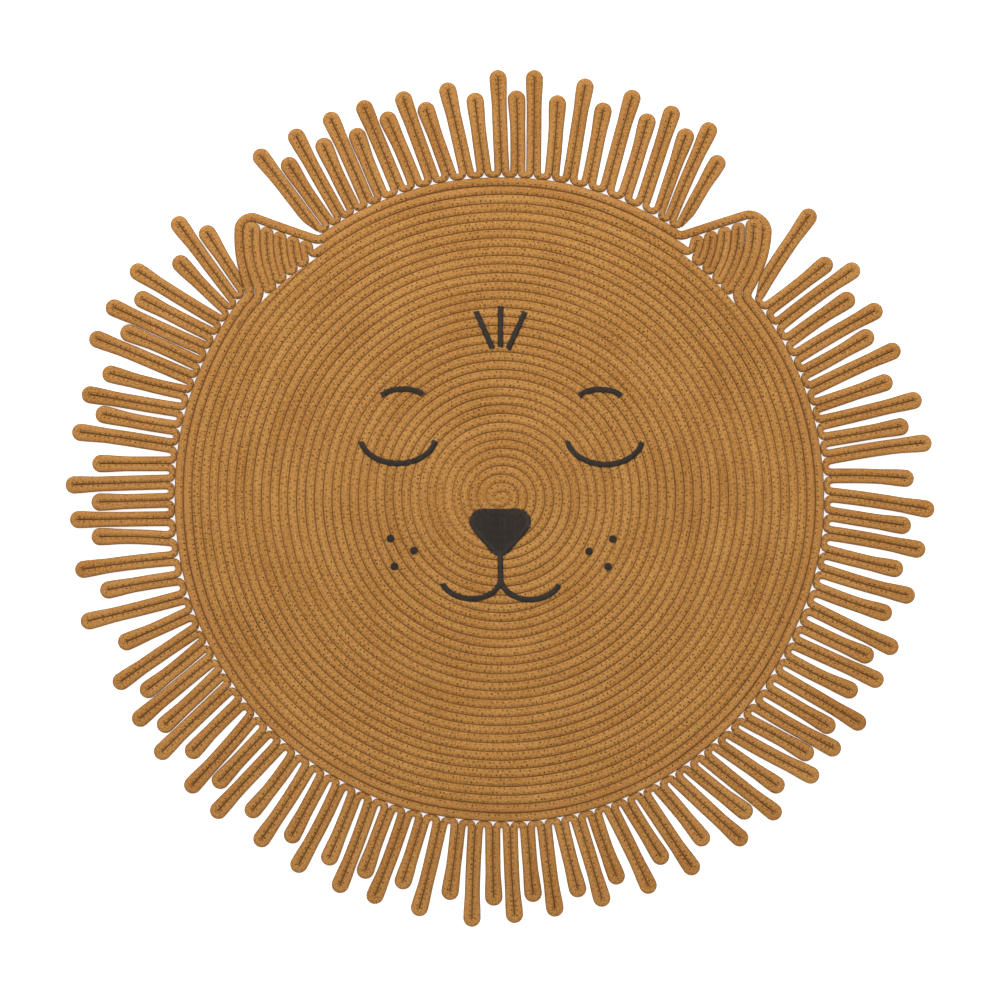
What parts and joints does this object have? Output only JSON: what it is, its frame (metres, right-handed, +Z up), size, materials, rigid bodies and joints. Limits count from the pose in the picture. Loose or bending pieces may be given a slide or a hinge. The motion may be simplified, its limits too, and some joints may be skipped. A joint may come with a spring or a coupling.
{
  "type": "lion shaped kids rug",
  "caption": "Flat round rug in the shape of a lion's head: a sewn spiral of braided cotton cord, with two cord-filled ears and a mane of looped double strands.",
  "frame": {"origin": "middle of the coil, on the rug's underside", "axes": "+Z up from the floor, +Y from the middle toward the top of the head, between the ears, +X to the right seen from above"},
  "size_m": [0.9923, 0.9803, 0.009],
  "materials": {
    "coil_cord": "matt braided cotton cord, caramel brown",
    "mane_cord": "matt braided cotton cord, caramel brown"
  },
  "bodies": {
    "root": {"coil_disc": "coil_cord", "ear_outlines_turn": "coil_cord", "ear_fillings_turn": "coil_cord", "mane_round": "mane_cord", "mane_top": "mane_cord"}
  },
  "joints": []
}
